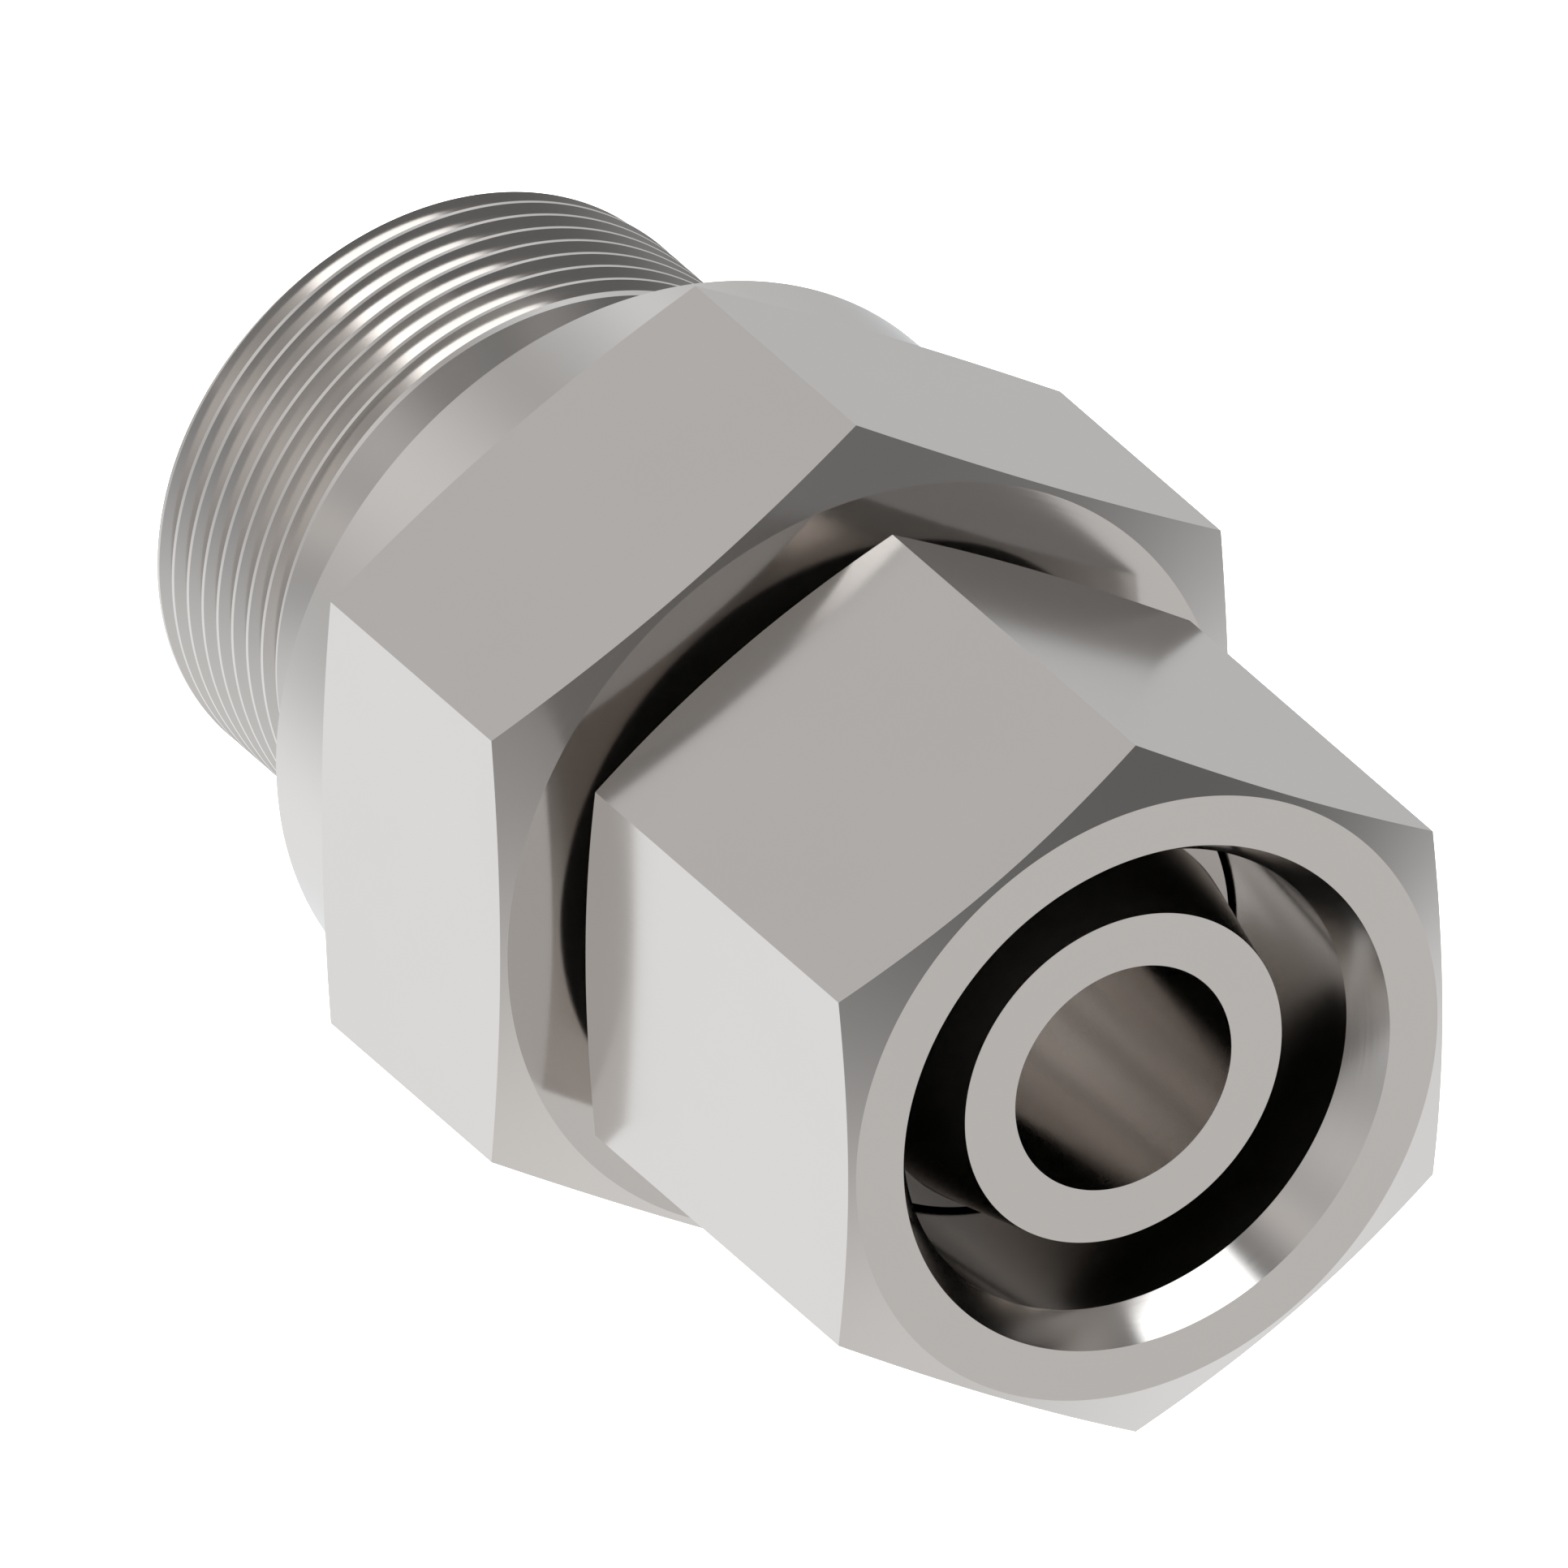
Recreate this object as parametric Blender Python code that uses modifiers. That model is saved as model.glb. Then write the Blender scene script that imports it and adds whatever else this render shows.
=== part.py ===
"""Straight male stud adaptor with a swivel nut, for 12 mm hydraulic tube.

The fitting lies on one flat of its body hexagon, with its axis along X.
The nut and its cone nose point to +X, and the threaded stud points to -X.
The origin is on the axis, halfway along the fitting. Units are metres.

Every turned piece is drawn as a half section about a local Z axis, and is
then laid over so that its local +Z becomes the world's +X.
"""

import math

import bmesh
import bpy
from mathutils import Matrix

MM = 0.001

# Turned surfaces
SEGMENTS = 60
MERGE_DISTANCE = 0.00001
SHARP_ANGLE = math.radians(25)
BLANK_ALLOWANCE = 0.5 * MM

# Lengths along the axis, each from the front of the one before
NUT_LENGTH = 17.0 * MM
NUT_TO_BODY_GAP = 1.0 * MM
HEXAGON_LENGTH = 11.5 * MM
COLLAR_THICKNESS = 3.0 * MM
STUD_LENGTH = 14.0 * MM
OVERALL_LENGTH = NUT_LENGTH + NUT_TO_BODY_GAP + HEXAGON_LENGTH + COLLAR_THICKNESS + STUD_LENGTH

# Length of the hexagonal bar that the turned blanks are cut to
BAR_LENGTH = 1.5 * OVERALL_LENGTH

# Planes across the axis, as heights on the turned section
NUT_FRONT = OVERALL_LENGTH / 2
NUT_BACK = NUT_FRONT - NUT_LENGTH
BODY_FRONT = NUT_BACK - NUT_TO_BODY_GAP
COLLAR_FRONT = BODY_FRONT - HEXAGON_LENGTH
COLLAR_BACK = COLLAR_FRONT - COLLAR_THICKNESS
STUD_END = COLLAR_BACK - STUD_LENGTH

# Nose: the male half of a 24 degree cone joint, with a straight land behind the cone
NOSE_SETBACK = 1.5 * MM
NOSE_TIP_RADIUS = 5.86 * MM
NOSE_HALF_ANGLE = math.radians(12)
NOSE_CONE_LENGTH = 4.5 * MM
NOSE_LENGTH = 7.2 * MM
NOSE_BORE_RADIUS = 4.0 * MM

# Retaining ring and neck, which hold the nut on the nose
RING_RADIUS = 8.05 * MM
RING_THICKNESS = 1.6 * MM
NECK_RADIUS = 6.25 * MM
NECK_FILLET = 0.6 * MM
FILLET_STEPS = 3

# Body hexagon and collar
BODY_ACROSS_FLATS = 27.0 * MM
BODY_FACE_RADIUS = 13.26 * MM
BODY_CHAMFER = math.radians(15)
COLLAR_RADIUS = 13.46 * MM

# Recess for the port seal ring in the back of the collar
RECESS_RADIUS = 12.0 * MM
RECESS_DEPTH = 1.7 * MM
RECESS_DRAW = 0.23 * MM

# Stud: thread relief, helical thread and end chamfer
RELIEF_RADIUS = 9.0 * MM
THREAD_START = 5.13 * MM
THREAD_RADIUS = 10.4775 * MM
THREAD_PITCH = 0.953 * MM
THREAD_CREST = 0.15 * MM
THREAD_DEPTH = 0.6 * MM
THREAD_FLANK_ANGLE = math.radians(27.5)
THREAD_START_TURN = math.radians(54)
THREAD_OVERRUN = 0.6 * MM
GROOVE_CLEARANCE = 0.1 * MM
STUD_CHAMFER = 1.0 * MM
STUD_BORE_RADIUS = 6.0 * MM
STUD_BORE_DEPTH = 21.0 * MM
DRILL_HALF_ANGLE = math.radians(59)

# Swivel nut
NUT_ACROSS_FLATS = 22.0 * MM
NUT_FACE_RADIUS = 10.76 * MM
NUT_CHAMFER = math.radians(20)
NUT_MOUTH_RADIUS = 9.0 * MM
NUT_MOUTH_DEPTH = 1.4 * MM
NUT_BORE_RADIUS = 8.2 * MM
NUT_SHOULDER_GAP = 0.42 * MM
NUT_REAR_RADIUS = 6.55 * MM

# Port seal ring
SEAL_INNER_RADIUS = 9.3 * MM
SEAL_OUTER_RADIUS = 11.7 * MM
SEAL_SEAT_GAP = 0.3 * MM
SEAL_PROUD = 0.15 * MM
SEAL_LAND = 1.2 * MM
SEAL_EDGE = 0.35 * MM

# Colours and roughness
STEEL = (0.71, 0.68, 0.655, 1.0)
STEEL_ROUGHNESS = 0.15
RUBBER = (0.02, 0.02, 0.021, 1.0)
RUBBER_ROUGHNESS = 0.6


def clear_scene():
    """Remove whatever the opened file holds."""
    for old_object in list(bpy.data.objects):
        bpy.data.objects.remove(old_object, do_unlink=True)


def new_collection(name):
    """Make a collection in the scene."""
    collection = bpy.data.collections.new(name)
    bpy.context.scene.collection.children.link(collection)
    return collection


def new_material(name, colour, roughness, metallic):
    """Make a Principled material."""
    material = bpy.data.materials.new(name)
    material.use_nodes = True
    material.diffuse_color = colour
    shader = material.node_tree.nodes["Principled BSDF"]
    shader.inputs["Base Color"].default_value = colour
    shader.inputs["Roughness"].default_value = roughness
    shader.inputs["Metallic"].default_value = metallic
    return material


def new_object(name, bm, collection):
    """Turn a bmesh into an object laid over onto the X axis."""
    mesh = bpy.data.meshes.new(name)
    bm.to_mesh(mesh)
    bm.free()
    piece = bpy.data.objects.new(name, mesh)
    piece.rotation_euler = (0, math.pi / 2, 0)
    collection.objects.link(piece)
    return piece


def as_cutter(piece):
    """Show a cutter as a wire and keep it out of renders."""
    piece.display_type = "WIRE"
    piece.hide_render = True
    return piece


def turned(name, section, collection):
    """Revolve a closed half section of (radius, height) points.

    The section starts half a facet round, so that no facet edge meets a
    hexagon's corner or a step of the thread's groove.
    """
    half_facet = math.pi / SEGMENTS
    bm = bmesh.new()
    verts = [bm.verts.new((radius * math.cos(half_facet), radius * math.sin(half_facet), height))
             for radius, height in section]
    for first, second in zip(verts, verts[1:] + verts[:1]):
        bm.edges.new((first, second))
    piece = new_object(name, bm, collection)
    screw = piece.modifiers.new("Turn", "SCREW")
    screw.axis = "Z"
    screw.angle = 2 * math.pi
    screw.steps = SEGMENTS
    screw.render_steps = SEGMENTS
    screw.use_merge_vertices = True
    screw.merge_threshold = MERGE_DISTANCE
    return piece


def hexagon_bar(name, across_flats, collection):
    """Make hexagonal bar, longer than the fitting, with flats up and down."""
    bm = bmesh.new()
    corner_radius = across_flats / math.sqrt(3)
    bmesh.ops.create_cone(bm, cap_ends=True, segments=6, radius1=corner_radius,
                          radius2=corner_radius, depth=BAR_LENGTH)
    return as_cutter(new_object(name, bm, collection))


def add_boolean(piece, cutter, operation):
    """Combine a piece with a cutter."""
    boolean = piece.modifiers.new(cutter.name, "BOOLEAN")
    boolean.operation = operation
    boolean.solver = "EXACT"
    boolean.object = cutter


def settle(piece, material):
    """Apply the modifiers, shade the turned faces smooth and set the material."""
    depsgraph = bpy.context.evaluated_depsgraph_get()
    mesh = bpy.data.meshes.new_from_object(piece.evaluated_get(depsgraph))
    piece.modifiers.clear()
    piece.data = mesh
    mesh.name = piece.name
    mesh.shade_smooth()
    mesh.set_sharp_from_angle(angle=SHARP_ANGLE)
    mesh.materials.clear()
    mesh.materials.append(material)


def blank_radius(across_flats):
    """Give the radius of the turned blank, a little outside the hexagon's corners."""
    return across_flats / math.sqrt(3) + BLANK_ALLOWANCE


def chamfer_drop(across_flats, face_radius, angle):
    """Give the length that a chamfer's cone takes between its face and the blank's rim."""
    return (blank_radius(across_flats) - face_radius) * math.tan(angle)


def nose_section():
    """Outline the nose from its tip to the body's front face."""
    tip = NUT_FRONT - NOSE_SETBACK
    ring_front = tip - NOSE_LENGTH
    ring_back = ring_front - RING_THICKNESS
    land_radius = NOSE_TIP_RADIUS + NOSE_CONE_LENGTH * math.tan(NOSE_HALF_ANGLE)
    outline = [
        (NOSE_BORE_RADIUS, tip),
        (NOSE_TIP_RADIUS, tip),
        (land_radius, tip - NOSE_CONE_LENGTH),
        (land_radius, ring_front),
        (RING_RADIUS, ring_front),
        (RING_RADIUS, ring_back),
        (NECK_RADIUS, ring_back - (RING_RADIUS - NECK_RADIUS)),
    ]
    for step in range(FILLET_STEPS + 1):
        turn = step / FILLET_STEPS * math.pi / 2
        outline.append((
            NECK_RADIUS + NECK_FILLET * (1 - math.cos(turn)),
            BODY_FRONT + NECK_FILLET * (1 - math.sin(turn)),
        ))
    return outline


def hexagon_section():
    """Outline the hexagon's two chamfers and the collar's rim."""
    rim_radius = blank_radius(BODY_ACROSS_FLATS)
    front_drop = chamfer_drop(BODY_ACROSS_FLATS, BODY_FACE_RADIUS, BODY_CHAMFER)
    back_drop = chamfer_drop(BODY_ACROSS_FLATS, COLLAR_RADIUS, BODY_CHAMFER)
    return [
        (BODY_FACE_RADIUS, BODY_FRONT),
        (rim_radius, BODY_FRONT - front_drop),
        (rim_radius, COLLAR_FRONT + back_drop),
        (COLLAR_RADIUS, COLLAR_FRONT),
        (COLLAR_RADIUS, COLLAR_BACK),
    ]


def stud_section():
    """Outline the seal recess, the thread relief, the stud and the stepped bore."""
    recess_floor = COLLAR_BACK + RECESS_DEPTH
    thread_start = COLLAR_BACK - THREAD_START
    bore_floor = STUD_END + STUD_BORE_DEPTH
    drill_point = (STUD_BORE_RADIUS - NOSE_BORE_RADIUS) / math.tan(DRILL_HALF_ANGLE)
    return [
        (RECESS_RADIUS, COLLAR_BACK),
        (RECESS_RADIUS - RECESS_DRAW, recess_floor),
        (RELIEF_RADIUS, recess_floor),
        (RELIEF_RADIUS, thread_start + (THREAD_RADIUS - RELIEF_RADIUS)),
        (THREAD_RADIUS, thread_start),
        (THREAD_RADIUS, STUD_END + STUD_CHAMFER),
        (THREAD_RADIUS - STUD_CHAMFER, STUD_END),
        (STUD_BORE_RADIUS, STUD_END),
        (STUD_BORE_RADIUS, bore_floor),
        (NOSE_BORE_RADIUS, bore_floor + drill_point),
    ]


def thread_groove(name, collection):
    """Sweep the thread's groove along its helix, from the relief out past the stud's end."""
    half_width = (THREAD_PITCH - THREAD_CREST) / 2
    slope = math.tan(THREAD_FLANK_ANGLE)
    outer_half = half_width + GROOVE_CLEARANCE * slope
    root_half = half_width - THREAD_DEPTH * slope
    start = COLLAR_BACK - THREAD_START
    turns = (STUD_LENGTH - THREAD_START + THREAD_OVERRUN) / THREAD_PITCH
    steps = math.ceil(turns * SEGMENTS)

    bm = bmesh.new()
    corners = [
        (THREAD_RADIUS - THREAD_DEPTH, root_half),
        (THREAD_RADIUS + GROOVE_CLEARANCE, outer_half),
        (THREAD_RADIUS + GROOVE_CLEARANCE, -outer_half),
        (THREAD_RADIUS - THREAD_DEPTH, -root_half),
    ]
    verts = [bm.verts.new((radius, 0, start + height)) for radius, height in corners]
    face = bm.faces.new(verts)
    bmesh.ops.spin(bm, geom=[face], cent=(0, 0, 0), axis=(0, 0, 1),
                   dvec=(0, 0, -THREAD_PITCH / SEGMENTS), angle=-2 * math.pi * steps / SEGMENTS,
                   steps=steps, use_merge=False)
    bmesh.ops.recalc_face_normals(bm, faces=bm.faces[:])
    bmesh.ops.rotate(bm, verts=bm.verts[:], cent=(0, 0, 0),
                     matrix=Matrix.Rotation(THREAD_START_TURN, 3, "Z"))
    return as_cutter(new_object(name, bm, collection))


def make_body(parts, cutters):
    """Make the one-piece body: nose, hexagon, collar and threaded stud."""
    section = nose_section() + hexagon_section() + stud_section()
    body = turned("body", section, parts)
    add_boolean(body, hexagon_bar("body_bar", BODY_ACROSS_FLATS, cutters), "INTERSECT")
    add_boolean(body, thread_groove("stud_thread_groove", cutters), "DIFFERENCE")
    settle(body, new_material("body_steel", STEEL, STEEL_ROUGHNESS, 1.0))
    return body


def make_nut(parts, cutters):
    """Make the swivel nut, whose rear lip is closed in behind the retaining ring."""
    rim_radius = blank_radius(NUT_ACROSS_FLATS)
    drop = chamfer_drop(NUT_ACROSS_FLATS, NUT_FACE_RADIUS, NUT_CHAMFER)
    ring_back = NUT_FRONT - NOSE_SETBACK - NOSE_LENGTH - RING_THICKNESS
    shoulder_start = ring_back - NUT_SHOULDER_GAP + (NUT_BORE_RADIUS - RING_RADIUS)
    section = [
        (NUT_MOUTH_RADIUS, NUT_FRONT),
        (NUT_FACE_RADIUS, NUT_FRONT),
        (rim_radius, NUT_FRONT - drop),
        (rim_radius, NUT_BACK + drop),
        (NUT_FACE_RADIUS, NUT_BACK),
        (NUT_REAR_RADIUS, NUT_BACK),
        (NUT_REAR_RADIUS, shoulder_start - (NUT_BORE_RADIUS - NUT_REAR_RADIUS)),
        (NUT_BORE_RADIUS, shoulder_start),
        (NUT_BORE_RADIUS, NUT_FRONT - NUT_MOUTH_DEPTH),
    ]
    nut = turned("swivel_nut", section, parts)
    add_boolean(nut, hexagon_bar("nut_bar", NUT_ACROSS_FLATS, cutters), "INTERSECT")
    settle(nut, new_material("nut_steel", STEEL, STEEL_ROUGHNESS, 1.0))
    return nut


def make_seal(parts):
    """Make the elastomer ring that stands slightly proud of the collar."""
    front = COLLAR_BACK + RECESS_DEPTH - SEAL_SEAT_GAP
    back = COLLAR_BACK - SEAL_PROUD
    section = [
        (SEAL_INNER_RADIUS, front),
        (SEAL_OUTER_RADIUS - SEAL_EDGE, front),
        (SEAL_OUTER_RADIUS, front - SEAL_EDGE),
        (SEAL_OUTER_RADIUS, back + SEAL_EDGE),
        (SEAL_OUTER_RADIUS - SEAL_EDGE, back),
        (SEAL_OUTER_RADIUS - SEAL_LAND, back),
        (SEAL_INNER_RADIUS, back + SEAL_EDGE),
    ]
    seal = turned("port_seal_ring", section, parts)
    settle(seal, new_material("seal_rubber", RUBBER, RUBBER_ROUGHNESS, 0.0))
    return seal


def main():
    """Model the whole fitting."""
    clear_scene()
    parts = new_collection("swivel_stud_fitting")
    cutters = new_collection("cutters")
    make_body(parts, cutters)
    make_nut(parts, cutters)
    make_seal(parts)


main()
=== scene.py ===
"""Straight stud adaptor with a swivel nut, finished in bright machined steel.

Each piece is lofted about the X axis, one half outline after another, so that
hexagons, chamfers and the helical thread all share one fine grid.
"""
import math

import bmesh
import bpy
from bpy.props import FloatProperty, FloatVectorProperty, PointerProperty
from mathutils import Matrix, Vector


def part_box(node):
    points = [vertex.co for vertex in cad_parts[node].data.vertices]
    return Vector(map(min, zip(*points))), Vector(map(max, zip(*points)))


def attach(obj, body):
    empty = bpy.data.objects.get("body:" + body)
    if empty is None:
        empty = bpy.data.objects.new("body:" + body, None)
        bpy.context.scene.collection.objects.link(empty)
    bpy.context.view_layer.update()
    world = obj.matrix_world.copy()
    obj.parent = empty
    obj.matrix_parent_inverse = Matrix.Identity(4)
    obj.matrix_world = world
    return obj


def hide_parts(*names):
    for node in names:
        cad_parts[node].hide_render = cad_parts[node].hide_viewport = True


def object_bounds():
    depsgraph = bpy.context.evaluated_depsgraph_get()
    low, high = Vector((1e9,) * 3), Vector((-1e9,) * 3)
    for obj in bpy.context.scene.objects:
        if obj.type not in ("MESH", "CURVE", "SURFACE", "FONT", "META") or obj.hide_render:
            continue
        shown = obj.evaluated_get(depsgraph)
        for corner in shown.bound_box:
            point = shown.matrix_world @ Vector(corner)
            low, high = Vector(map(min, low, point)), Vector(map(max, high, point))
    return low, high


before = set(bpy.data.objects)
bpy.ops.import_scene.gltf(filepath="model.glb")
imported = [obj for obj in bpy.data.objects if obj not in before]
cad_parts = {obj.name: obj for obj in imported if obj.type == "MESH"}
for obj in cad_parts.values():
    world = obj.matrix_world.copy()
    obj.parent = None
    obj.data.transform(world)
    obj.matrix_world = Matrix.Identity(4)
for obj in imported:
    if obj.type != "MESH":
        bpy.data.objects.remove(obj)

bl_info = {
    "name": "Swivel Stud Fitting",
    "version": (1, 0, 0),
    "blender": (4, 5, 0),
    "location": "View3D > Sidebar > Fitting",
    "description": "Builds a straight stud fitting with a swivel nut and its studio",
    "category": "Add Mesh",
}

MM = 0.001

CAD_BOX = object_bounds()
BODY_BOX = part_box("body")
NUT_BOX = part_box("swivel_nut")
SEAL_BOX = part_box("port_seal_ring")

# Fineness of the lofted pieces
COLUMNS = 360
FILLET_STEPS = 14
ROUND_STEPS = 6
MERGE_DISTANCE = 0.0000005
SHARP_ANGLE = math.radians(9)

# Steps that look for a groove to each side of its middle, and halvings that find its edges
SPAN_STEPS = 8
BISECTIONS = 30

# How fast the lathe tool's marks change round the axis, and the detail of each pattern
WANDER = 0.4
TURNED_DETAIL = 2.0
DRAWN_DETAIL = 3.0
MOTTLE_DETAIL = 4.0

# Width of the floor in metres, and its roughness
FLOOR_WIDTH = 1.0
FLOOR_ROUGHNESS = 0.9

# The camera's right and up, and how far it stands from the fitting in metres
CAMERA_RIGHT = Vector((0.5, 0.75, -0.433013))
CAMERA_UP = Vector((-0.433013, 0.649519, 0.625))
CAMERA_DISTANCE = 0.3

# What a wholly warm light adds to white in red, green and blue
WARMTH = (0.04, 0.0, -0.03)

# Azimuth and elevation of the square light overhead in degrees, and its warmth
KEY_PLACE = (93, 56)
KEY_WARMTH = -0.7

# The round lights: azimuth, elevation and spread in degrees, strength and warmth
SOFT_LIGHTS = {
    "back_left": (-128, -16, 29, 0.86, -0.6),
    "low_back": (-177, -46, 25, 0.68, -1.0),
    "under": (8, -77, 23, 0.70, -0.8),
    "right_low": (116, -15, 23, 0.83, 0.0),
    "right": (133, 18, 15, 0.63, -1.0),
    "left_low": (-59, -15, 31, 0.64, -0.5),
    "back": (-170, 41, 24, 0.58, 0.0),
    "left": (-98, 52, 21, 0.57, 0.2),
    "front_right_low": (48, -56, 15, 0.43, -0.6),
    "front_low": (-7, -41, 18, 0.44, 0.8),
    "front_right": (47, 25, 11, 0.20, 0.6),
    "front_high": (-12, 44, 16, 0.37, 0.2),
    "top": (-38, 75, 9, 0.32, 0.8),
    "front_left": (-46, 35, 9, 0.29, 1.2),
    "back_right": (151, 30, 8, 0.10, 0.0),
    "top_back": (150, 74, 9, 0.50, 0.0),
    "front_corner": (30, 44, 8, 0.09, 0.0),
    "right_corner": (58, -23, 9, 0.09, 0.0),
    "left_corner": (-48, -42, 10, 0.10, 0.0),
}

# How a stretch of outline was made, as the index of its material
TURNED = 0
DRAWN = 1


def length(name, description, millimetres):
    """Make a length property from a size in millimetres."""
    return FloatProperty(name=name, description=description, default=millimetres * MM,
                         min=0.0, precision=6, subtype="DISTANCE", unit="LENGTH")


def angle(name, description, degrees):
    """Make an angle property from a size in degrees."""
    return FloatProperty(name=name, description=description, default=math.radians(degrees),
                         subtype="ANGLE", unit="ROTATION")


def factor(name, description, default):
    """Make a property between none and all."""
    return FloatProperty(name=name, description=description, default=default,
                         min=0.0, max=1.0, subtype="FACTOR")


def strength(name, description, default):
    """Make a light strength property, where one is white."""
    return FloatProperty(name=name, description=description, default=default, min=0.0)


def colour(name, description, default):
    """Make a colour property."""
    return FloatVectorProperty(name=name, description=description, default=default,
                               size=3, min=0.0, max=1.0, subtype="COLOR")


class FittingNoseSizes(bpy.types.PropertyGroup):
    """Sizes of the coned nose and of the ring that holds the nut."""

    tip_radius: length("Tip radius", "Radius of the nose's flat end", 5.86)
    cone_length: length("Cone length", "Length of the sealing cone", 4.5)
    nose_length: length("Nose length", "From the nose's flat end to the retaining ring", 7.2)
    half_angle: angle("Half angle", "Half the angle of the sealing cone", 12)
    bore_radius: length("Bore radius", "Radius of the bore through the nose", 4.0)
    ring_radius: length("Ring radius", "Radius of the ring that the nut turns behind", 8.05)
    ring_thickness: length("Ring thickness", "Length of that ring's rim", 1.6)
    neck_radius: length("Neck radius", "Radius of the neck inside the nut's rear lip", 6.25)
    neck_fillet: length("Neck fillet", "Rounding where the neck meets the body", 0.6)


class FittingBodySizes(bpy.types.PropertyGroup):
    """Sizes of the hexagon, the collar and the stud."""

    front: length("Front face", "Place of the hexagon's front face along the axis", 5.25)
    face_radius: length("Face radius", "Radius where the front face meets its chamfer", 13.26)
    chamfer: angle("Chamfer", "Angle between the faces and the corner chamfers", 15)
    hexagon_length: length("Hexagon length", "From the front face to the collar", 11.5)
    collar_radius: length("Collar radius", "Radius of the sealing collar", 13.46)
    collar_thickness: length("Collar thickness", "Thickness of the sealing collar", 3.0)
    recess_radius: length("Recess radius", "Outer radius of the seal ring's recess", 12.0)
    recess_depth: length("Recess depth", "Depth of the seal ring's recess", 1.7)
    recess_draw: length("Recess draw", "How much the recess narrows to its floor", 0.23)
    relief_radius: length("Relief radius", "Radius of the groove behind the thread", 9.0)
    stud_chamfer: length("Stud chamfer", "Chamfer on the stud's end", 1.14)
    stud_bore_radius: length("Stud bore radius", "Radius of the wide bore in the stud", 6.0)
    stud_bore_depth: length("Stud bore depth", "Depth of the wide bore in the stud", 21.0)
    drill_angle: angle("Drill half angle", "Half the angle of the drill's point", 59)


class FittingThreadSizes(bpy.types.PropertyGroup):
    """Sizes of the stud's helical thread."""

    start: length("Start", "From the collar's back to the first crest", 5.13)
    radius: length("Radius", "Radius over the crests", 10.467)
    pitch: length("Pitch", "Advance in one turn", 0.949)
    crest: length("Crest", "Width of the flat crest", 0.15)
    depth: length("Depth", "Depth from the crests to the roots", 0.6)
    flank: angle("Flank angle", "Angle of each flank from the radius", 29)
    start_turn: angle("Start turn", "Where the groove starts round the axis", 334)
    run_in: factor("Run-in", "Share of a turn in which the groove reaches full depth", 0.15)


class FittingNutSizes(bpy.types.PropertyGroup):
    """Sizes of the swivel nut."""

    face_radius: length("Face radius", "Radius where each end face meets its chamfer", 10.76)
    chamfer: angle("Chamfer", "Angle between the faces and the corner chamfers", 20)
    mouth_radius: length("Mouth radius", "Radius of the mouth at the front face", 9.0)
    mouth_depth: length("Mouth depth", "Depth of the mouth's chamfer", 1.4)
    bore_radius: length("Bore radius", "Radius of the bore round the nose", 8.2)
    shoulder: length("Shoulder", "From the front face to the start of the rear lip", 10.67)
    rear_radius: length("Rear radius", "Radius of the hole in the rear lip", 6.55)


class FittingSealSizes(bpy.types.PropertyGroup):
    """Sizes of the port seal ring."""

    inner_radius: length("Inner radius", "Radius of the ring's hole", 9.3)
    land: length("Land", "Width of the ring's flat sealing land", 1.2)
    edge: length("Edge", "Rounding of the ring's edges", 0.35)


class FittingFinish(bpy.types.PropertyGroup):
    """Colours and surface of the pieces."""

    steel: colour("Steel", "Colour of the bright steel", (0.71, 0.68, 0.655))
    steel_roughness: factor("Steel roughness", "Roughness of the bright steel", 0.15)
    rubber: colour("Rubber", "Colour of the seal ring", (0.02, 0.02, 0.021))
    rubber_roughness: factor("Rubber roughness", "Roughness of the seal ring", 0.55)
    roughness_sway: factor("Roughness sway", "How far the grain sways the roughness", 0.02)
    feed: length("Feed", "Distance between the lathe tool's marks", 0.12)
    turned_depth: length("Turned depth", "Depth of the lathe tool's marks", 0.0004)
    line_spacing: length("Line spacing", "Distance between the drawn bar's lines", 0.08)
    line_run: length("Line run", "Length of the drawn bar's lines", 4.0)
    drawn_depth: length("Drawn depth", "Depth of the drawn bar's lines", 0.0003)
    mould_grain: length("Mould grain", "Size of the grain on the rubber", 0.15)
    mould_depth: length("Mould depth", "Depth of the grain on the rubber", 0.01)
    mottle_size: length("Mottle size", "Size of the slow unevenness in colour", 6.0)
    mottle: factor("Mottle", "Strength of the slow unevenness in colour", 0.02)


class FittingStudio(bpy.types.PropertyGroup):
    """Floor, light and camera."""

    floor: colour("Floor", "Colour of the floor", (1.0, 1.0, 1.0))
    floor_glow: strength("Floor glow", "Strength of the light that thins the floor's shadow", 0.85)
    backdrop: strength("Backdrop", "Strength of the white backdrop and of the floor's light", 2.5)
    surround: strength("Surround", "Strength of the light from all round", 0.13)
    key_strength: strength("Key strength", "Strength of the square light overhead", 2.2)
    key_half_width: angle("Key half width", "Half the angle across the square light", 20.5)
    key_half_height: angle("Key half height", "Half the angle up the square light", 20)
    key_edge: angle("Key edge", "Angle over which the square light fades", 5)
    frame_width: length("Frame width", "Width of the picture at the fitting", 50.25)


def hexagon_radius(apothem, turn):
    """Give a hexagon's radius at an angle from +Y, where it has a corner."""
    return apothem / math.cos(turn % (math.pi / 3) - math.pi / 6)


def fillet(x, radius, size):
    """Round an inner corner, from the neck's side out to the face at x."""
    points = []
    for step in range(FILLET_STEPS + 1):
        bend = step / FILLET_STEPS * math.pi / 2
        points.append((x + size * (1 - math.sin(bend)), radius + size * (1 - math.cos(bend)),
                       TURNED))
    return points


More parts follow.
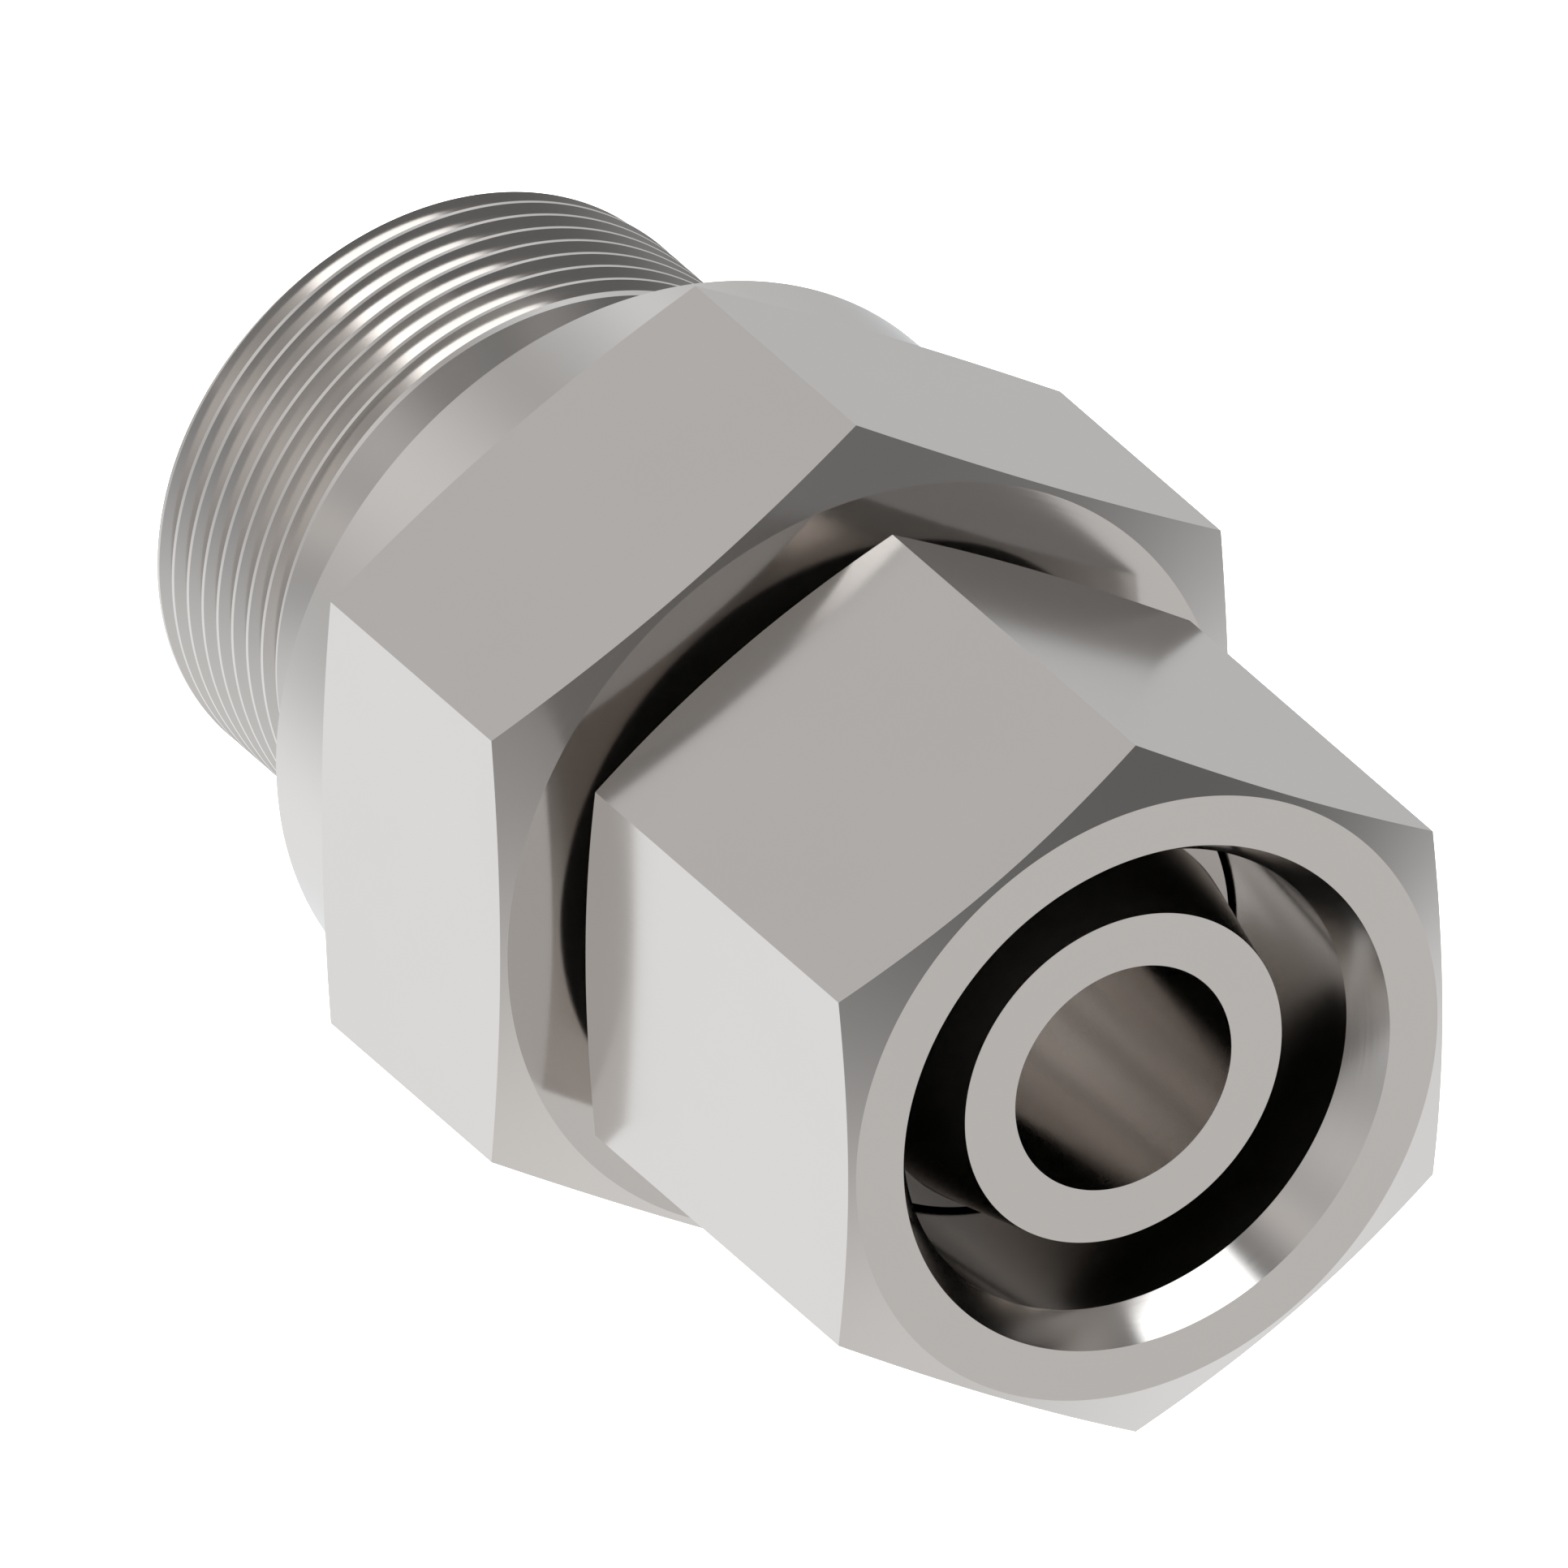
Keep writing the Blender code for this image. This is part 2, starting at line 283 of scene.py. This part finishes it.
def nose_outline(sizes, body):
    """Outline the nose from its tip to the hexagon's front face."""
    tip = BODY_BOX[1].x
    ring_front = tip - sizes.nose_length
    ring_back = ring_front - sizes.ring_thickness
    land_radius = sizes.tip_radius + sizes.cone_length * math.tan(sizes.half_angle)
    return [
        (tip, sizes.bore_radius, TURNED),
        (tip, sizes.tip_radius, TURNED),
        (tip - sizes.cone_length, land_radius, TURNED),
        (ring_front, land_radius, TURNED),
        (ring_front, sizes.ring_radius, TURNED),
        (ring_back, sizes.ring_radius, TURNED),
        (ring_back - (sizes.ring_radius - sizes.neck_radius), sizes.neck_radius, TURNED),
        *fillet(body.front, sizes.neck_radius, sizes.neck_fillet),
    ]


def hexagon_outline(front, back, front_radius, back_radius, chamfer, radius):
    """Outline a hexagon's two chamfers and its flat, where the hexagon has this radius."""
    slope = math.tan(chamfer)
    return [
        (front, front_radius, TURNED),
        (front - (radius - front_radius) * slope, radius, DRAWN),
        (back + (radius - back_radius) * slope, radius, TURNED),
        (back, back_radius, TURNED),
    ]


def stud_envelope(thread, body, collar_back):
    """Give a function for the stud's radius along the axis before its thread is cut."""
    start = collar_back - thread.start
    chamfer_start = BODY_BOX[0].x + body.stud_chamfer

    def radius_at(x):
        rising = thread.radius - (x - start)
        falling = thread.radius - (chamfer_start - x)
        return max(body.relief_radius, min(thread.radius, rising, falling))

    return radius_at


def cut_span(envelope, groove, middle, reach):
    """Give the two ends of the stretch where a groove lies below the envelope, or None."""
    samples = [middle + reach * step / SPAN_STEPS for step in range(-SPAN_STEPS, SPAN_STEPS + 1)]
    deepest = max(samples, key=lambda x: envelope(x) - groove(x))
    if envelope(deepest) - groove(deepest) <= 0:
        return None
    ends = []
    for side in (1, -1):
        inside = deepest
        outside = middle + side * 2 * reach
        for _ in range(BISECTIONS):
            halfway = (inside + outside) / 2
            if envelope(halfway) > groove(halfway):
                inside = halfway
            else:
                outside = halfway
        ends.append(inside)
    return ends


def groove_outline(thread, envelope, turns, start, end):
    """Outline one turn of the groove, after so many turns of the helix."""
    half_width = (thread.pitch - thread.crest) / 2
    slope = math.tan(thread.flank)
    root_half = half_width - thread.depth * slope
    share = min(1.0, turns / thread.run_in)
    depth = thread.depth * share * share * (3 - 2 * share)
    middle = start - thread.pitch * turns

    def groove(x):
        return thread.radius - depth + max(0.0, abs(x - middle) - root_half) / slope

    span = cut_span(envelope, groove, middle, half_width) if depth > 0 else None
    if span is None:
        place = min(max(middle, end), start)
        return [(place, envelope(place), TURNED)] * 4
    front, back = span
    root_front = min(middle + root_half, front)
    root_back = max(middle - root_half, back)
    return [
        (front, envelope(front), TURNED),
        (root_front, groove(root_front), TURNED),
        (root_back, groove(root_back), TURNED),
        (back, envelope(back), TURNED),
    ]


def thread_outline(thread, body, collar_back, turn):
    """Outline the whole threaded stretch at this share of a turn."""
    start = collar_back - thread.start
    end = BODY_BOX[0].x
    chamfer_start = end + body.stud_chamfer
    envelope = stud_envelope(thread, body, collar_back)
    grooves = [groove_outline(thread, envelope, turn + count, start, end)
               for count in range(math.ceil((start - end) / thread.pitch) + 1)]
    front = start + (thread.radius - body.relief_radius)
    points = [(front, body.relief_radius, TURNED)]
    for groove in grooves + [[(end, envelope(end), TURNED)]]:
        land_front = points[-1][0]
        land_back = groove[0][0]
        for edge in (start, chamfer_start):
            place = min(max(edge, land_back), land_front)
            points.append((place, envelope(place), TURNED))
        points.extend(groove)
    return points


def body_outline(settings, angle_round, turn):
    """Outline the whole body at one angle round the axis."""
    nose, body, thread = settings.nose, settings.body, settings.thread
    collar_front = body.front - body.hexagon_length
    collar_back = collar_front - body.collar_thickness
    recess_floor = collar_back + body.recess_depth
    bore_floor = BODY_BOX[0].x + body.stud_bore_depth
    drill_point = (body.stud_bore_radius - nose.bore_radius) / math.tan(body.drill_angle)
    radius = hexagon_radius(BODY_BOX[1].z, angle_round)
    return [
        *nose_outline(nose, body),
        *hexagon_outline(body.front, collar_front, body.face_radius, body.collar_radius,
                         body.chamfer, radius),
        (collar_back, body.collar_radius, TURNED),
        (collar_back, body.recess_radius, TURNED),
        (recess_floor, body.recess_radius - body.recess_draw, TURNED),
        (recess_floor, body.relief_radius, TURNED),
        *thread_outline(thread, body, collar_back, turn),
        (BODY_BOX[0].x, body.stud_bore_radius, TURNED),
        (bore_floor, body.stud_bore_radius, TURNED),
        (bore_floor + drill_point, nose.bore_radius, TURNED),
    ]


def nut_outline(sizes, angle_round):
    """Outline the nut at one angle round the axis."""
    front, back = NUT_BOX[1].x, NUT_BOX[0].x
    shoulder = front - sizes.shoulder
    radius = hexagon_radius(NUT_BOX[1].z, angle_round)
    return [
        (front, sizes.mouth_radius, TURNED),
        *hexagon_outline(front, back, sizes.face_radius, sizes.face_radius, sizes.chamfer, radius),
        (back, sizes.rear_radius, TURNED),
        (shoulder - (sizes.bore_radius - sizes.rear_radius), sizes.rear_radius, TURNED),
        (shoulder, sizes.bore_radius, TURNED),
        (front - sizes.mouth_depth, sizes.bore_radius, TURNED),
    ]


def rounded(x, radius, size, first):
    """Round an outer corner of the seal ring, through a quarter turn from an angle."""
    points = []
    for step in range(ROUND_STEPS + 1):
        bend = first - step / ROUND_STEPS * math.pi / 2
        points.append((x + size * math.cos(bend), radius + size * math.sin(bend), TURNED))
    return points


def seal_outline(sizes):
    """Outline the port seal ring, with a flat land at its outer edge."""
    front, back = SEAL_BOX[1].x, SEAL_BOX[0].x
    outer = SEAL_BOX[1].z
    edge = sizes.edge
    return [
        (front, sizes.inner_radius, TURNED),
        *rounded(front - edge, outer - edge, edge, math.pi / 2)[::-1],
        *rounded(back + edge, outer - edge, edge, math.pi)[::-1],
        (back, outer - sizes.land, TURNED),
        (back + edge, sizes.inner_radius, TURNED),
    ]


def lofted(name, outline, start_turn=0.0):
    """Loft a closed outline round the X axis, one column of points at a time."""
    bm = bmesh.new()
    columns = []
    for count in range(COLUMNS + 1):
        turn = count / COLUMNS
        angle_round = start_turn - 2 * math.pi * turn
        columns.append([
            (bm.verts.new((x, radius * math.cos(angle_round), radius * math.sin(angle_round))),
             finish)
            for x, radius, finish in outline(angle_round, turn)
        ])
    for near, far in zip(columns, columns[1:]):
        for index, (vert, finish) in enumerate(near):
            following = (index + 1) % len(near)
            face = bm.faces.new((vert, near[following][0], far[following][0], far[index][0]))
            face.material_index = finish
    bmesh.ops.remove_doubles(bm, verts=bm.verts[:], dist=MERGE_DISTANCE)
    bmesh.ops.recalc_face_normals(bm, faces=bm.faces[:])
    mesh = bpy.data.meshes.new(name)
    bm.to_mesh(mesh)
    bm.free()
    mesh.shade_smooth()
    mesh.set_sharp_from_angle(angle=SHARP_ANGLE)
    piece = bpy.data.objects.new(name, mesh)
    bpy.context.scene.collection.objects.link(piece)
    return piece


def new_group(name, inputs, outputs):
    """Make a shader node group with these sockets and return it with its two end nodes."""
    group = bpy.data.node_groups.new(name, "ShaderNodeTree")
    for socket, kind in inputs.items():
        group.interface.new_socket(socket, in_out="INPUT", socket_type="NodeSocket" + kind)
    for socket, kind in outputs.items():
        group.interface.new_socket(socket, in_out="OUTPUT", socket_type="NodeSocket" + kind)
    return group, group.nodes.new("NodeGroupInput"), group.nodes.new("NodeGroupOutput")


def join(tree, source, target):
    """Link a socket to another, or set it where the source is a value."""
    if isinstance(source, bpy.types.NodeSocket):
        tree.links.new(source, target)
    else:
        target.default_value = source


def math_node(tree, operation, *values):
    """Add a Math node on these values and return its result."""
    node = tree.nodes.new("ShaderNodeMath")
    node.operation = operation
    for value, socket in zip(values, node.inputs):
        join(tree, value, socket)
    return node.outputs[0]


def dot(tree, first, second):
    """Add the dot product of two vectors and return it."""
    node = tree.nodes.new("ShaderNodeVectorMath")
    node.operation = "DOT_PRODUCT"
    join(tree, first, node.inputs[0])
    join(tree, second, node.inputs[1])
    return node.outputs["Value"]


def ramp(tree, value, low, high):
    """Add a smooth rise from none at the low value to all at the high one."""
    node = tree.nodes.new("ShaderNodeMapRange")
    node.interpolation_type = "SMOOTHSTEP"
    join(tree, value, node.inputs["Value"])
    join(tree, low, node.inputs["From Min"])
    join(tree, high, node.inputs["From Max"])
    return node.outputs["Result"]


def place_on_piece(tree):
    """Give the place on the piece as three numbers."""
    split = tree.nodes.new("ShaderNodeSeparateXYZ")
    place = tree.nodes.new("ShaderNodeTexCoord")
    join(tree, place.outputs["Object"], split.inputs["Vector"])
    return split.outputs


def noise(tree, x, y, z, detail):
    """Add fine noise over three coordinates."""
    node = tree.nodes.new("ShaderNodeTexNoise")
    node.inputs["Scale"].default_value = 1.0
    node.inputs["Detail"].default_value = detail
    vector = tree.nodes.new("ShaderNodeCombineXYZ")
    for value, socket in zip((x, y, z), vector.inputs):
        join(tree, value, socket)
    join(tree, vector.outputs["Vector"], node.inputs["Vector"])
    return node.outputs["Fac"]


def once(name):
    """Give a group that is built already, or None."""
    return bpy.data.node_groups.get(name)


def turning_marks_group():
    """Build the group for the rings that a lathe tool leaves round the axis."""
    group = once("turning_marks")
    if group:
        return group
    group, ins, outs = new_group("turning_marks", {"Feed": "Float", "Wander": "Float"},
                                 {"Marks": "Float"})
    x, y, z = place_on_piece(group)
    radius = math_node(group, "SQRT", math_node(
        group, "ADD", math_node(group, "MULTIPLY", y, y), math_node(group, "MULTIPLY", z, z)))
    turn = math_node(group, "MULTIPLY", math_node(group, "ARCTAN2", z, y), ins.outputs["Wander"])
    marks = noise(group, math_node(group, "DIVIDE", x, ins.outputs["Feed"]),
                  math_node(group, "DIVIDE", radius, ins.outputs["Feed"]), turn, TURNED_DETAIL)
    join(group, marks, outs.inputs["Marks"])
    return group


def drawn_lines_group():
    """Build the group for the fine lines that drawing leaves along a hexagonal bar."""
    group = once("drawn_lines")
    if group:
        return group
    group, ins, outs = new_group("drawn_lines", {"Spacing": "Float", "Run": "Float"},
                                 {"Lines": "Float"})
    x, y, z = place_on_piece(group)
    lines = noise(group, math_node(group, "DIVIDE", x, ins.outputs["Run"]),
                  math_node(group, "DIVIDE", y, ins.outputs["Spacing"]),
                  math_node(group, "DIVIDE", z, ins.outputs["Spacing"]), DRAWN_DETAIL)
    join(group, lines, outs.inputs["Lines"])
    return group


def mottle_group():
    """Build the group for the slow unevenness of a surface."""
    group = once("mottle")
    if group:
        return group
    group, ins, outs = new_group("mottle", {"Size": "Float"}, {"Mottle": "Float"})
    x, y, z = (math_node(group, "DIVIDE", part, ins.outputs["Size"])
               for part in place_on_piece(group))
    join(group, noise(group, x, y, z, MOTTLE_DETAIL), outs.inputs["Mottle"])
    return group


def use_group(tree, group, values, output):
    """Place a group in a material with these values and give one of its outputs."""
    node = tree.nodes.new("ShaderNodeGroup")
    node.node_tree = group
    for name, value in values.items():
        node.inputs[name].default_value = value
    return node.outputs[output]


def spread_about(tree, middle, sway, pattern):
    """Let a value sway about its middle with a pattern from none to all."""
    off_middle = math_node(tree, "SUBTRACT", pattern, 0.5)
    return math_node(tree, "MULTIPLY_ADD", off_middle, 2 * sway, middle)


def tinted(tree, pattern, tint, sway):
    """Let a colour grow a little lighter and darker with a pattern."""
    mix = tree.nodes.new("ShaderNodeValToRGB")
    dark, light = mix.color_ramp.elements
    dark.color = (*(part * (1 - sway) for part in tint), 1.0)
    light.color = (*(min(1.0, part * (1 + sway)) for part in tint), 1.0)
    join(tree, pattern, mix.inputs["Fac"])
    return mix.outputs["Color"]


def bump(tree, height, depth):
    """Add a bump of this depth and return its normal."""
    node = tree.nodes.new("ShaderNodeBump")
    node.inputs["Strength"].default_value = 1.0
    node.inputs["Distance"].default_value = depth
    join(tree, height, node.inputs["Height"])
    return node.outputs["Normal"]


def finished(name, metallic, tint, roughness, grain, depth, finish):
    """Make a material whose grain is given by a function of its node tree."""
    material = bpy.data.materials.new(name)
    material.use_nodes = True
    tree = material.node_tree
    shader = tree.nodes["Principled BSDF"]
    shader.inputs["Metallic"].default_value = metallic
    pattern = grain(tree)
    mottle = use_group(tree, mottle_group(), {"Size": finish.mottle_size}, "Mottle")
    join(tree, tinted(tree, mottle, tint, finish.mottle), shader.inputs["Base Color"])
    join(tree, spread_about(tree, roughness, finish.roughness_sway, pattern),
         shader.inputs["Roughness"])
    join(tree, bump(tree, pattern, depth), shader.inputs["Normal"])
    return material


def turned_steel(name, finish):
    """Make bright steel with the marks of a lathe tool."""
    def grain(tree):
        return use_group(tree, turning_marks_group(),
                         {"Feed": finish.feed, "Wander": WANDER}, "Marks")
    return finished(name, 1.0, finish.steel, finish.steel_roughness, grain,
                    finish.turned_depth, finish)


def drawn_steel(name, finish):
    """Make bright steel with the lines of a drawn bar."""
    def grain(tree):
        return use_group(tree, drawn_lines_group(),
                         {"Spacing": finish.line_spacing, "Run": finish.line_run}, "Lines")
    return finished(name, 1.0, finish.steel, finish.steel_roughness, grain,
                    finish.drawn_depth, finish)


def moulded_rubber(name, finish):
    """Make black seal rubber with the fine grain of its mould."""
    def grain(tree):
        return use_group(tree, mottle_group(), {"Size": finish.mould_grain}, "Mottle")
    return finished(name, 0.0, finish.rubber, finish.rubber_roughness, grain,
                    finish.mould_depth, finish)


class FITTING_OT_body(bpy.types.Operator):
    """Make the one-piece body with its nose, hexagon, collar and threaded stud"""

    bl_idname = "fitting.make_body"
    bl_label = "Body"

    def execute(self, context):
        settings = context.scene.fitting
        piece = lofted("steel_body", lambda at, turn: body_outline(settings, at, turn),
                       settings.thread.start_turn)
        piece.data.materials.append(turned_steel("body_turned_steel", settings.finish))
        piece.data.materials.append(drawn_steel("body_drawn_steel", settings.finish))
        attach(piece, "fitting")
        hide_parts("body")
        return {"FINISHED"}


class FITTING_OT_swivel_nut(bpy.types.Operator):
    """Make the swivel nut"""

    bl_idname = "fitting.make_swivel_nut"
    bl_label = "Swivel nut"

    def execute(self, context):
        settings = context.scene.fitting
        piece = lofted("steel_swivel_nut", lambda at, turn: nut_outline(settings.nut, at))
        piece.data.materials.append(turned_steel("nut_turned_steel", settings.finish))
        piece.data.materials.append(drawn_steel("nut_drawn_steel", settings.finish))
        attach(piece, "nut")
        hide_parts("swivel_nut")
        return {"FINISHED"}


class FITTING_OT_port_seal(bpy.types.Operator):
    """Make the rubber port seal ring"""

    bl_idname = "fitting.make_port_seal"
    bl_label = "Port seal ring"

    def execute(self, context):
        settings = context.scene.fitting
        piece = lofted("rubber_port_seal_ring", lambda at, turn: seal_outline(settings.seal))
        piece.data.materials.append(moulded_rubber("seal_rubber", settings.finish))
        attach(piece, "fitting")
        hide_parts("port_seal_ring")
        return {"FINISHED"}


class FITTING_OT_studio(bpy.types.Operator):
    """Make the floor, the light and the camera"""

    bl_idname = "fitting.make_studio"
    bl_label = "Studio"

    def execute(self, context):
        studio = context.scene.fitting.studio
        make_floor(studio)
        make_world(studio)
        make_camera(context, studio)
        return {"FINISHED"}


def make_floor(studio):
    """Lay a plain pale floor under the lowest point of the fitting."""
    bpy.ops.mesh.primitive_plane_add(size=FLOOR_WIDTH, location=(0, 0, CAD_BOX[0].z))
    floor = bpy.context.active_object
    floor.name = "floor"
    material = bpy.data.materials.new("floor")
    material.use_nodes = True
    shader = material.node_tree.nodes["Principled BSDF"]
    shader.inputs["Base Color"].default_value = (*studio.floor, 1.0)
    shader.inputs["Roughness"].default_value = FLOOR_ROUGHNESS
    shader.inputs["Emission Color"].default_value = (*studio.floor, 1.0)
    shader.inputs["Emission Strength"].default_value = studio.floor_glow
    floor.data.materials.append(material)
    floor.visible_glossy = False


def direction(azimuth, elevation):
    """Give the unit vector that points this many degrees round and up."""
    around, up = math.radians(azimuth), math.radians(elevation)
    return Vector((math.cos(up) * math.cos(around), math.cos(up) * math.sin(around),
                   math.sin(up)))


def add_light(tree, light, shape, tint):
    """Add to the light so far a light of this shape and colour."""
    node = tree.nodes.new("ShaderNodeVectorMath")
    node.operation = "MULTIPLY_ADD"
    join(tree, shape, node.inputs[0])
    join(tree, tint, node.inputs[1])
    join(tree, light, node.inputs[2])
    return node.outputs["Vector"]


def soft_light_group():
    """Build the group for a round light that fades evenly from its middle."""
    group, ins, outs = new_group(
        "soft_light",
        {"Light": "Color", "Place": "Vector", "Sharpness": "Float", "Colour": "Color"},
        {"Light": "Color"})
    view = group.nodes.new("ShaderNodeTexCoord").outputs["Generated"]
    off_axis = math_node(group, "SUBTRACT", dot(group, view, ins.outputs["Place"]), 1.0)
    fading = math_node(group, "EXPONENT",
                       math_node(group, "MULTIPLY", off_axis, ins.outputs["Sharpness"]))
    total = add_light(group, ins.outputs["Light"], fading, ins.outputs["Colour"])
    join(group, total, outs.inputs["Light"])
    return group


def soft_box_group():
    """Build the group for a square light with soft edges."""
    group, ins, outs = new_group(
        "soft_box",
        {"Light": "Color", "Place": "Vector", "Across": "Vector", "Up": "Vector",
         "Half Width": "Float", "Half Height": "Float", "Edge": "Float", "Colour": "Color"},
        {"Light": "Color"})
    view = group.nodes.new("ShaderNodeTexCoord").outputs["Generated"]
    ahead = dot(group, view, ins.outputs["Place"])
    inside = math_node(group, "GREATER_THAN", ahead, 0.0)
    for side, half in (("Across", "Half Width"), ("Up", "Half Height")):
        off_axis = math_node(group, "ABSOLUTE", math_node(
            group, "ARCTAN2", dot(group, view, ins.outputs[side]), ahead))
        outer = math_node(group, "ADD", ins.outputs[half], ins.outputs["Edge"])
        inside = math_node(group, "MULTIPLY", inside,
                           ramp(group, off_axis, outer, ins.outputs[half]))
    total = add_light(group, ins.outputs["Light"], inside, ins.outputs["Colour"])
    join(group, total, outs.inputs["Light"])
    return group


def light_colour(power, warmth):
    """Give a light's colour from its strength and from how warm it is."""
    return (*(power * (1 + warmth * part) for part in WARMTH), 1.0)


def sharpness(spread):
    """Give how sharply a round light fades to be half as strong this many degrees out."""
    return math.log(2) / (1 - math.cos(math.radians(spread)))


def add_soft_lights(tree, light):
    """Add the round lights to the light so far."""
    round_light = soft_light_group()
    for name, (azimuth, elevation, spread, power, warmth) in SOFT_LIGHTS.items():
        node = tree.nodes.new("ShaderNodeGroup")
        node.name = name
        node.node_tree = round_light
        node.inputs["Place"].default_value = direction(azimuth, elevation)
        node.inputs["Sharpness"].default_value = sharpness(spread)
        node.inputs["Colour"].default_value = light_colour(power, warmth)
        join(tree, light, node.inputs["Light"])
        light = node.outputs["Light"]
    return light


def add_key_light(tree, light, studio):
    """Add the square light overhead to the light so far."""
    node = tree.nodes.new("ShaderNodeGroup")
    node.name = "key"
    node.node_tree = soft_box_group()
    place = direction(*KEY_PLACE)
    across = Vector((0, 0, 1)).cross(place).normalized()
    node.inputs["Place"].default_value = place
    node.inputs["Across"].default_value = across
    node.inputs["Up"].default_value = place.cross(across)
    node.inputs["Half Width"].default_value = studio.key_half_width
    node.inputs["Half Height"].default_value = studio.key_half_height
    node.inputs["Edge"].default_value = studio.key_edge
    node.inputs["Colour"].default_value = light_colour(studio.key_strength, KEY_WARMTH)
    join(tree, light, node.inputs["Light"])
    return node.outputs["Light"]


def make_world(studio):
    """Light the steel with soft lights, and leave the backdrop plain white."""
    world = bpy.data.worlds.new("studio")
    world.use_nodes = True
    bpy.context.scene.world = world
    tree = world.node_tree
    light = (studio.surround, studio.surround, studio.surround, 1.0)
    light = add_soft_lights(tree, light)
    light = add_key_light(tree, light, studio)
    reflected = tree.nodes["Background"]
    join(tree, light, reflected.inputs["Color"])
    backdrop = tree.nodes.new("ShaderNodeBackground")
    backdrop.inputs["Strength"].default_value = studio.backdrop
    paths = tree.nodes.new("ShaderNodeLightPath")
    choice = tree.nodes.new("ShaderNodeMixShader")
    join(tree, paths.outputs["Is Glossy Ray"], choice.inputs[0])
    join(tree, backdrop.outputs["Background"], choice.inputs[1])
    join(tree, reflected.outputs["Background"], choice.inputs[2])
    join(tree, choice.outputs["Shader"], tree.nodes["World Output"].inputs["Surface"])
    world.cycles.sampling_method = "NONE"


def make_camera(context, studio):
    """Look down the nut's mouth from above and one side, rolled as the photograph is."""
    data = bpy.data.cameras.new("camera")
    data.type = "ORTHO"
    data.ortho_scale = studio.frame_width
    camera = bpy.data.objects.new("camera", data)
    context.scene.collection.objects.link(camera)
    back = CAMERA_RIGHT.cross(CAMERA_UP)
    turn = Matrix((CAMERA_RIGHT, CAMERA_UP, back)).transposed()
    camera.matrix_world = Matrix.Translation(back * CAMERA_DISTANCE) @ turn.to_4x4()
    context.scene.camera = camera
    context.scene.view_settings.view_transform = "Standard"


class FITTING_PT_panel(bpy.types.Panel):
    """Sidebar panel that lists the fitting's pieces and settings"""

    bl_idname = "FITTING_PT_panel"
    bl_label = "Fitting"
    bl_space_type = "VIEW_3D"
    bl_region_type = "UI"
    bl_category = "Fitting"

    def draw(self, context):
        for operator in OPERATORS:
            self.layout.operator(operator.bl_idname)
        settings = context.scene.fitting
        for group in SETTINGS_GROUPS:
            box = self.layout.box()
            box.label(text=group.title())
            for name in getattr(settings, group).__annotations__:
                box.prop(getattr(settings, group), name)


class FittingSettings(bpy.types.PropertyGroup):
    """All settings of the fitting."""

    nose: PointerProperty(type=FittingNoseSizes, name="Nose", description="Nose sizes")
    body: PointerProperty(type=FittingBodySizes, name="Body", description="Body sizes")
    thread: PointerProperty(type=FittingThreadSizes, name="Thread", description="Thread sizes")
    nut: PointerProperty(type=FittingNutSizes, name="Nut", description="Nut sizes")
    seal: PointerProperty(type=FittingSealSizes, name="Seal", description="Seal ring sizes")
    finish: PointerProperty(type=FittingFinish, name="Finish", description="Surface finish")
    studio: PointerProperty(type=FittingStudio, name="Studio", description="Studio settings")


SETTINGS_GROUPS = ("nose", "body", "thread", "nut", "seal", "finish", "studio")
OPERATORS = (FITTING_OT_body, FITTING_OT_swivel_nut, FITTING_OT_port_seal, FITTING_OT_studio)
CLASSES = (
    FittingNoseSizes, FittingBodySizes, FittingThreadSizes, FittingNutSizes, FittingSealSizes,
    FittingFinish, FittingStudio, FittingSettings, *OPERATORS, FITTING_PT_panel,
)


def register():
    """Register the classes and hang the settings on the scene."""
    for cls in CLASSES:
        bpy.utils.register_class(cls)
    bpy.types.Scene.fitting = PointerProperty(type=FittingSettings)


def unregister():
    """Take the settings and the classes away again."""
    del bpy.types.Scene.fitting
    for cls in reversed(CLASSES):
        bpy.utils.unregister_class(cls)


def main():
    """Build the fitting and its studio."""
    register()
    bpy.ops.fitting.make_body()
    bpy.ops.fitting.make_swivel_nut()
    bpy.ops.fitting.make_port_seal()
    bpy.ops.fitting.make_studio()


if __name__ == "__main__":
    main()
